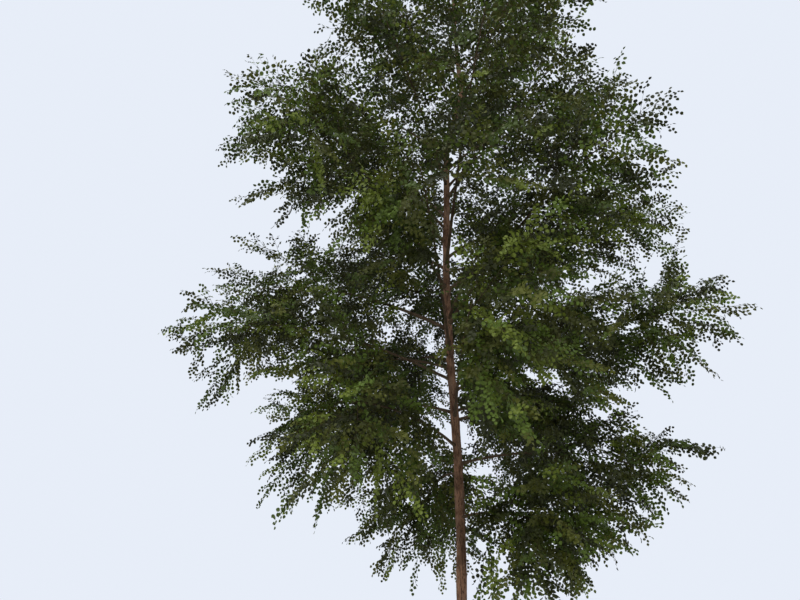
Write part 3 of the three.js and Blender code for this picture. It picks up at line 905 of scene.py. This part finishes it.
def leaflet(root, turn, random):
    """A round leaflet with a short point, its two sides folded up and its tip curled down."""
    along = unit(np.array([math.cos(turn), math.sin(turn), random.uniform(*LEAFLET_RISE_RANGE)]))
    roll = np.array([-math.sin(turn), math.cos(turn), 0]) * random.uniform(*LEAFLET_ROLL_RANGE)
    normal = unit(UP + roll - dot(UP + roll, along) * along)
    across = np.cross(normal, along)
    length = LEAFLET_LENGTH * random.uniform(*LEAFLET_LENGTH_RANGE)
    other_side = [(far, -wide) for far, wide in reversed(LEAFLET_SIDE)]
    outline = np.array([(0, 0), *LEAFLET_SIDE, (1, 0), *other_side])
    far = outline[:, :1]
    wide = LEAFLET_HALF_WIDTH * outline[:, 1:]
    rise = LEAFLET_FOLD * np.abs(wide) - LEAFLET_CURL * far**2
    faces = np.array([[0, i + 1, i] for i in range(1, len(outline) - 1)])
    return root + length * (far * along + wide * across + rise * normal), faces


def leaf_template(first_side, random):
    """A compound leaf's vertices and triangles, rooted at the origin and lying along x, with z upwards."""
    parts = Parts()
    reach = LEAF_LENGTH - LEAFLET_LENGTH
    rachis = np.array([[0, -0.5 * RACHIS_WIDTH, 0], [0, 0.5 * RACHIS_WIDTH, 0], [reach, 0, 0]])
    parts.add(rachis, np.array([[0, 2, 1]]))
    for i, place in enumerate(np.linspace(STALK_LENGTH, reach, LEAFLETS)):
        if i == LEAFLETS - 1:
            degrees = random.uniform(*TIP_LEAFLET_DEGREES)
        else:
            degrees = first_side * (-1) ** i * random.uniform(*LEAFLET_DEGREES)
        parts.add(*leaflet(np.array([place, 0, 0]), math.radians(degrees), random))
    return np.concatenate(parts.vertices), np.concatenate(parts.faces)


def add_leaves(parts, leaves, template):
    vertices, faces = template
    across = np.cross(leaves.normal, leaves.along)
    basis = np.stack([leaves.along, across, leaves.normal], axis=1) * leaves.size[:, None, None]
    placed = leaves.root[:, None] + np.einsum("vk,nkc->nvc", vertices, basis)
    shifted = faces[None] + len(vertices) * np.arange(len(placed))[:, None, None]
    parts.add(placed.reshape(-1, 3), shifted.reshape(-1, 3))


def new_piece(name, mesh, material, replaced):
    """A piece of the tree that rides on its one body and stands in for some of its nodes."""
    piece = bpy.data.objects.new(name, mesh)
    bpy.context.scene.collection.objects.link(piece)
    piece.data.materials.append(material)
    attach(piece, "root")
    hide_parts(*replaced)


def darker(colour, share):
    """A colour dimmed to a share of its light, as four numbers."""
    return (*[share * channel for channel in colour], 1)


def new_material(name, colour, roughness, specular=0.5):
    material = bpy.data.materials.new(name)
    material.use_nodes = True
    shader = material.node_tree.nodes["Principled BSDF"]
    shader.inputs["Base Color"].default_value = (*colour, 1)
    shader.inputs["Roughness"].default_value = roughness
    shader.inputs["Specular IOR Level"].default_value = specular
    return material


class Graph:
    """A material's node graph, built node by node."""

    def __init__(self, material):
        self.nodes = material.node_tree.nodes
        self.links = material.node_tree.links
        self.shader = self.nodes["Principled BSDF"]

    def node(self, kind, inputs, **settings):
        """A node with its settings, and with each input either linked to an output or given a value."""
        node = self.nodes.new(f"ShaderNode{kind}")
        for name, value in settings.items():
            setattr(node, name, value)
        for name, value in inputs.items():
            if isinstance(value, bpy.types.NodeSocket):
                self.links.new(value, node.inputs[name])
            else:
                node.inputs[name].default_value = value
        return node

    def noise(self, place, scale, detail, roughness=0.5):
        inputs = {"Vector": place, "Scale": scale, "Detail": detail, "Roughness": roughness}
        return self.node("TexNoise", inputs).outputs["Fac"]

    def spread(self, value, low, high):
        """A value's share of the way from low to high, eased at both ends."""
        inputs = {"Value": value, "From Min": low, "From Max": high}
        return self.node("MapRange", inputs, interpolation_type="SMOOTHSTEP").outputs["Result"]

    def blend(self, share, a, b):
        inputs = {"Factor": share, "A": a, "B": b}
        return self.node("Mix", inputs, data_type="RGBA").outputs["Result"]

    def multiply(self, a, b):
        inputs = {"Factor": 1.0, "A": a, "B": b}
        return self.node("Mix", inputs, data_type="RGBA", blend_type="MULTIPLY").outputs["Result"]

    def calculated(self, operation, a, b):
        return self.node("Math", {0: a, 1: b}, operation=operation).outputs["Value"]

    def seams(self, place, scale, width):
        """A net of winding seams: 0 in their middle and 1 off them."""
        wander = self.noise(place, scale, SEAM_DETAIL, SEAM_ROUGHNESS)
        offset = self.calculated("ABSOLUTE", self.calculated("SUBTRACT", wander, 0.5), 0)
        return self.spread(offset, 0.0, width)


def bark_material(name, furrow, ridge, patch, stretch, scale, bump_depth):
    """Bark: seams between plates drawn out along the limb, with cracks, grain and patches of other tones."""
    material = new_material(name, ridge, BARK_ROUGHNESS, BARK_SPECULAR)
    graph = Graph(material)
    place = graph.node("TexCoord", {}).outputs["Object"]
    drawn_out = graph.node("Mapping", {"Vector": place, "Scale": (1, 1, stretch)}).outputs["Vector"]
    less_drawn_out = graph.node("Mapping", {"Vector": place, "Scale": (1, 1, 2 * stretch)}).outputs["Vector"]
    plate = graph.seams(drawn_out, scale, SEAM_WIDTH)
    cracks = graph.seams(less_drawn_out, CRACK_SCALE * scale, CRACK_WIDTH)
    grain = graph.noise(less_drawn_out, GRAIN_SCALE * scale, GRAIN_DETAIL, GRAIN_ROUGHNESS)
    tone = graph.noise(less_drawn_out, PATCH_SCALE * scale, PATCH_DETAIL)
    broad = graph.noise(place, BROAD_PATCH_SCALE * scale, BROAD_PATCH_DETAIL)
    colour = graph.blend(graph.spread(tone, *PATCH_RANGE), (*ridge, 1), (*patch, 1))
    colour = graph.blend(graph.spread(broad, *BROAD_PATCH_RANGE), colour, darker(ridge, BROAD_PATCH_SHADE))
    colour = graph.multiply(colour, graph.blend(graph.spread(grain, *GRAIN_RANGE), GRAIN_SHADE, WHITE))
    colour = graph.multiply(colour, graph.blend(cracks, CRACK_SHADE, WHITE))
    colour = graph.blend(plate, (*furrow, 1), colour)
    graph.links.new(colour, graph.shader.inputs["Base Color"])
    height = graph.calculated("ADD", plate, graph.calculated("MULTIPLY", cracks, CRACK_HEIGHT))
    height = graph.calculated("ADD", height, graph.calculated("MULTIPLY", grain, GRAIN_HEIGHT))
    bump = graph.node("Bump", {"Height": height, "Distance": bump_depth, "Strength": BUMP_STRENGTH})
    graph.links.new(bump.outputs["Normal"], graph.shader.inputs["Normal"])
    return material


def grow_tree():
    """The twigs, shoots and leaves of all masses, and each leaf's colour number."""
    twigs = []
    shoots = []
    leaf_rows = []
    scores = []
    for own in range(len(LIMBS)):
        random = np.random.default_rng(SEED * FINE_SEEDS + own * MASS_SEEDS)
        own_twigs, own_sprays = grow_mass(own)
        own_fillers = grow_fillers(own, own_twigs, own_sprays)
        first_number = len(scores)
        own_shoots = []
        for spray in own_sprays + own_fillers:
            spray_shoots = shoots_of(spray, random)
            own_shoots += spray_shoots
            # Each spray's score carries painted light: lighter greens towards the crown's edge and painted
            # shade further in.
            score = freshness_and_painted_light(spray, random)
            scores += list(score + random.normal(0, FRESHNESS_BY_SHOOT, len(spray_shoots)))
        own_leaves, own_shoots = dress(own_shoots, first_number, own, random)
        twigs += own_twigs
        shoots += own_shoots
        leaf_rows.append(own_leaves)
    leaves = joined(leaf_rows)
    return twigs, shoots, leaves, dealt_colours(np.array(scores))[leaves.shoot]


def waves(angle, z, turn_counts, rises, count, random):
    """A sum of waves that closes round a limb, drawn out along it, mostly within -1 to 1."""
    total = np.zeros(np.broadcast(angle, z).shape)
    for _ in range(count):
        turns = random.integers(*turn_counts)
        rise = random.uniform(*rises) * random.choice([-1, 1])
        total += np.cos(turns * angle + 2 * np.pi * rise * z + random.uniform(0, 2 * np.pi))
    return total / math.sqrt(count)


def swelling(angle, z, middle_angle, middle_z, width, height):
    """A rounded lump on the trunk round a place on its side."""
    aside = trunk_radius(middle_z) * ((angle - middle_angle + np.pi) % (2 * np.pi) - np.pi)
    return np.exp(-((aside / width) ** 2 + ((z - middle_z) / height) ** 2))


def trunk_mesh(random):
    """The trunk with furrows, bulges, knots and a collar under each limb."""
    z = TRUNK_HEIGHT * np.linspace(0, 1, TRUNK_RINGS + 1)[:, None]
    angle = 2 * np.pi * np.arange(TRUNK_SIDES) / TRUNK_SIDES
    lobe = 1 + ROOT_LOBE_DEPTH * np.exp(-z / ROOT_FLARE_HEIGHT) * np.cos(ROOT_LOBES * angle)
    furrows = waves(angle, z, *FURROW_WAVES, random)
    grain = waves(angle, z, *GRAIN_WAVES, random)
    bulges = waves(angle, z, *BULGE_WAVES, random)
    relief = -FURROW_DEPTH * np.exp(-((furrows / FURROW_WIDTH) ** 2))
    relief = relief + GRAIN_DEPTH * grain + BULGE_DEPTH * bulges
    for knot_z in np.linspace(KNOT_LOW, KNOT_HIGH, KNOTS) + random.uniform(-KNOT_SHIFT, KNOT_SHIFT, KNOTS):
        turn = random.uniform(0, 2 * np.pi)
        size = random.uniform(*KNOT_SIZE_RANGE)
        knot = swelling(angle, z, turn, knot_z, KNOT_WIDTH * size, KNOT_HEIGHT * size)
        pit = swelling(angle, z, turn, knot_z, KNOT_PIT_WIDTH * size, KNOT_PIT_HEIGHT * size)
        relief += KNOT_RISE * size * knot
        relief -= KNOT_PIT_DEPTH * size * pit
    for limb in LIMBS[:-1]:
        root_z = limb.curve.start[2]
        way = limb.curve.tangent(0.0)
        turn = math.atan2(way[1], way[0])
        relief += COLLAR_RISE * swelling(angle, z, turn, root_z - COLLAR_DROP, COLLAR_WIDTH, COLLAR_HEIGHT)
    radius = trunk_radius(z) * lobe + relief * np.minimum(1, trunk_radius(z) / TRUNK_RADIUS)
    centre = trunk_axis(z[:, 0])[:, None]
    rim = np.stack([np.cos(angle), np.sin(angle), np.zeros_like(angle)], -1)
    parts = Parts()
    add_tube(parts, centre + radius[..., None] * rim)
    return parts.mesh("trunk_bark", smooth=True)


def bough_mesh(random):
    """All limbs: each with a collar at its root, lumps along it and a taper to its tip."""
    parts = Parts()
    share = np.linspace(0, 1, BOUGH_RINGS + 1)
    angle = 2 * np.pi * np.arange(BOUGH_SIDES) / BOUGH_SIDES
    for limb in LIMBS:
        root_radius = STEM_RADIUS
        if limb.has_bough:
            root_radius = LIMB_ROOT_SHARE * float(trunk_radius(limb.curve.start[2]))
        if limb.on_trunk_tip:
            root_radius = float(trunk_radius(TRUNK_HEIGHT))
        along = share * limb.length
        collar = 1 + BOUGH_COLLAR_SWELL * np.exp(-along / BOUGH_COLLAR_LENGTH)
        radius = mix(root_radius, BOUGH_TIP_RADIUS, share) * collar
        lumps = waves(angle, along[:, None], *BOUGH_WAVES, random)
        radius = radius[:, None] * (1 + BOUGH_LUMPS * lumps)
        tangent = limb.curve.tangent(share)
        level = RIGHT if limb.on_trunk_tip else UP
        upward = unit(level - dot(level, tangent)[:, None] * tangent)
        sideways = np.cross(tangent, upward)
        rim = np.cos(angle)[:, None] * upward[:, None] + np.sin(angle)[:, None] * sideways[:, None]
        add_tube(parts, limb.curve.point(share)[:, None] + radius[..., None] * rim)
    return parts.mesh("boughs", smooth=True)


twigs, shoots, leaves, leaf_colours = grow_tree()
fine = np.random.default_rng(SEED)

nodes = sorted(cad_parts)
foliage_nodes = [name for name in nodes if name.startswith("foliage")]
bough_nodes = [name for name in nodes if name.startswith("bough")]

# Trunk, boughs and the stems that run on from them
trunk_bark, bough_bark, twig_bark = [bark_material(name, **bark) for name, bark in BARKS.items()]
new_piece("trunk_bark", trunk_mesh(fine), trunk_bark, ["trunk"])
new_piece("boughs", bough_mesh(fine), bough_bark, bough_nodes)

# Twigs and shoots
twig_parts = Parts()
add_tubes(twig_parts, stack(twigs), *TWIG_TUBE)
add_tubes(twig_parts, stack(shoots), *SHOOT_TUBE)
new_piece("twigs", twig_parts.mesh("twigs"), twig_bark, foliage_nodes)

# Leaves
templates = [leaf_template((-1) ** number, fine) for number in range(LEAF_FORMS)]
forms = fine.integers(LEAF_FORMS, size=len(leaves.size))
for number, (name, (colour, _)) in enumerate(LEAF_COLOURS.items()):
    leaf_parts = Parts()
    for form, template in enumerate(templates):
        add_leaves(leaf_parts, leaves.chosen((leaf_colours == number) & (forms == form)), template)
    leaf_material = new_material(f"leaf_{name}", colour, LEAF_ROUGHNESS, LEAF_SPECULAR)
    new_piece(f"leaves_{name}", leaf_parts.mesh(f"leaves_{name}"), leaf_material, foliage_nodes)

# Floor
bpy.ops.mesh.primitive_plane_add(size=FLOOR_SIZE)
floor = bpy.context.object
floor.name = "floor"
floor.data.materials.append(new_material("floor", FLOOR_COLOUR, FLOOR_ROUGHNESS))

# Light and camera
world = bpy.data.worlds.new("sky")
bpy.context.scene.world = world
world.use_nodes = True
world.node_tree.nodes["Background"].inputs["Color"].default_value = SKY_COLOUR
world.node_tree.nodes["Background"].inputs["Strength"].default_value = SKY_STRENGTH
bpy.context.scene.view_settings.view_transform = "Standard"

sun = bpy.data.lights.new("sun", "SUN")
sun.energy = SUN_ENERGY
sun.angle = SUN_WIDTH
sun_object = bpy.data.objects.new("sun", sun)
sun_object.rotation_euler = SUN_TURNS
bpy.context.scene.collection.objects.link(sun_object)

camera = bpy.data.cameras.new("camera")
camera.sensor_width = SENSOR_WIDTH
camera.lens = LENS
camera_object = bpy.data.objects.new("camera", camera)
camera_object.location = VIEWER
camera_object.rotation_euler = CAMERA_TURNS
bpy.context.scene.collection.objects.link(camera_object)
bpy.context.scene.camera = camera_object
